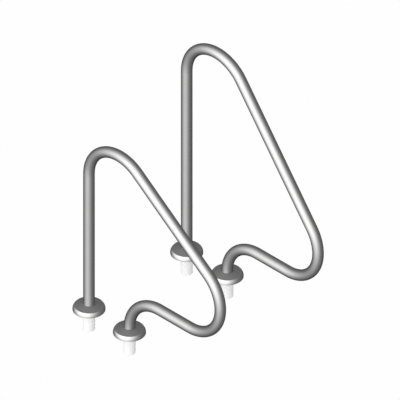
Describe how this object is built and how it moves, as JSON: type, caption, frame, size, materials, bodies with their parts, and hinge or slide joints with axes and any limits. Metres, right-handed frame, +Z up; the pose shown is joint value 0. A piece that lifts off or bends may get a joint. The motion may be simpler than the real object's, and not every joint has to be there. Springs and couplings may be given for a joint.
{
  "type": "pool handrail",
  "caption": "Pair of figure-four deck-mounted pool grab rails in bent stainless tube, of different heights, on wedge deck anchors under sliding escutcheons.",
  "frame": {"origin": "on the deck's surface, midway between the two post feet", "axes": "+Z up, +X from the post feet towards the water, +Y from the short rail to the tall one"},
  "size_m": [0.7531, 0.62, 1.0724],
  "materials": {
    "tube": "satin-polished stainless steel",
    "escutcheon": "satin stainless steel sheet",
    "seal": "matt dark grey rubber",
    "socket": "white moulded plastic",
    "wedge": "cast bronze",
    "bolt": "stainless steel fastener",
    "washer": "stainless steel",
    "bonding_tag": "tinned brass",
    "tail_plug": "white moulded plastic"
  },
  "bodies": {
    "anchors": {"short_post_socket": "socket", "short_post_washer": "washer", "short_post_bonding_tag": "bonding_tag", "short_return_socket": "socket", "short_return_washer": "washer", "short_return_bonding_tag": "bonding_tag", "tall_post_socket": "socket", "tall_post_washer": "washer", "tall_post_bonding_tag": "bonding_tag", "tall_return_socket": "socket", "tall_return_washer": "washer", "tall_return_bonding_tag": "bonding_tag"},
    "short_rail": {"short_rail": "tube", "short_post_tail_plug": "tail_plug", "short_return_tail_plug": "tail_plug"},
    "tall_rail": {"tall_rail": "tube", "tall_post_tail_plug": "tail_plug", "tall_return_tail_plug": "tail_plug"},
    "short_post_escutcheon": {"short_post_escutcheon": "escutcheon", "short_post_seal": "seal"},
    "short_post_bolt": {"short_post_bolt": "bolt"},
    "short_post_wedge": {"short_post_wedge": "wedge"},
    "short_return_escutcheon": {"short_return_escutcheon": "escutcheon", "short_return_seal": "seal"},
    "short_return_bolt": {"short_return_bolt": "bolt"},
    "short_return_wedge": {"short_return_wedge": "wedge"},
    "tall_post_escutcheon": {"tall_post_escutcheon": "escutcheon", "tall_post_seal": "seal"},
    "tall_post_bolt": {"tall_post_bolt": "bolt"},
    "tall_post_wedge": {"tall_post_wedge": "wedge"},
    "tall_return_escutcheon": {"tall_return_escutcheon": "escutcheon", "tall_return_seal": "seal"},
    "tall_return_bolt": {"tall_return_bolt": "bolt"},
    "tall_return_wedge": {"tall_return_wedge": "wedge"}
  },
  "joints": [
    {"name": "short_rail_lift", "type": "slide", "parent": "anchors", "child": "short_rail", "axis": [0, 0, 1], "range_m": [0, 0.12]},
    {"name": "tall_rail_lift", "type": "slide", "parent": "anchors", "child": "tall_rail", "axis": [0, 0, 1], "range_m": [0, 0.12]},
    {"name": "short_post_escutcheon_slide", "type": "slide", "parent": "short_rail", "child": "short_post_escutcheon", "axis": [0, 0, 1], "range_m": [0, 0.57]},
    {"name": "short_post_bolt_turn", "type": "hinge", "parent": "anchors", "child": "short_post_bolt", "pos_m": [-0.02192, -0.22808, 0.003], "axis": [0.0555, -0.0555, 0.9969], "range_deg": [0, 1441]},
    {"name": "short_post_wedge_draw", "type": "slide", "parent": "anchors", "child": "short_post_wedge", "axis": [-0.0555, 0.0555, -0.9969], "range_m": [0, 0.005]},
    {"name": "short_return_escutcheon_slide", "type": "hinge", "parent": "short_rail", "child": "short_return_escutcheon", "pos_m": [0.362, -0.25, 0.0215], "axis": [0, 1, 0], "range_deg": [0, 70]},
    {"name": "short_return_bolt_turn", "type": "hinge", "parent": "anchors", "child": "short_return_bolt", "pos_m": [0.18508, -0.22808, 0.003], "axis": [0.0555, -0.0555, 0.9969], "range_deg": [0, 1441]},
    {"name": "short_return_wedge_draw", "type": "slide", "parent": "anchors", "child": "short_return_wedge", "axis": [-0.0555, 0.0555, -0.9969], "range_m": [0, 0.005]},
    {"name": "tall_post_escutcheon_slide", "type": "slide", "parent": "tall_rail", "child": "tall_post_escutcheon", "axis": [0, 0, 1], "range_m": [0, 0.77]},
    {"name": "tall_post_bolt_turn", "type": "hinge", "parent": "anchors", "child": "tall_post_bolt", "pos_m": [-0.02192, 0.27192, 0.003], "axis": [0.0555, -0.0555, 0.9969], "range_deg": [0, 1441]},
    {"name": "tall_post_wedge_draw", "type": "slide", "parent": "anchors", "child": "tall_post_wedge", "axis": [-0.0555, 0.0555, -0.9969], "range_m": [0, 0.005]},
    {"name": "tall_return_escutcheon_slide", "type": "hinge", "parent": "tall_rail", "child": "tall_return_escutcheon", "pos_m": [0.362, 0.25, 0.0215], "axis": [0, 1, 0], "range_deg": [0, 70]},
    {"name": "tall_return_bolt_turn", "type": "hinge", "parent": "anchors", "child": "tall_return_bolt", "pos_m": [0.18508, 0.27192, 0.003], "axis": [0.0555, -0.0555, 0.9969], "range_deg": [0, 1441]},
    {"name": "tall_return_wedge_draw", "type": "slide", "parent": "anchors", "child": "tall_return_wedge", "axis": [-0.0555, 0.0555, -0.9969], "range_m": [0, 0.005]}
  ],
  "couplings": [
    {"joint": "short_post_bolt_turn", "follows": "short_post_wedge_draw", "rad_per_m": 5026.5},
    {"joint": "short_return_bolt_turn", "follows": "short_return_wedge_draw", "rad_per_m": 5026.5},
    {"joint": "tall_post_bolt_turn", "follows": "tall_post_wedge_draw", "rad_per_m": 5026.5},
    {"joint": "tall_return_bolt_turn", "follows": "tall_return_wedge_draw", "rad_per_m": 5026.5}
  ]
}
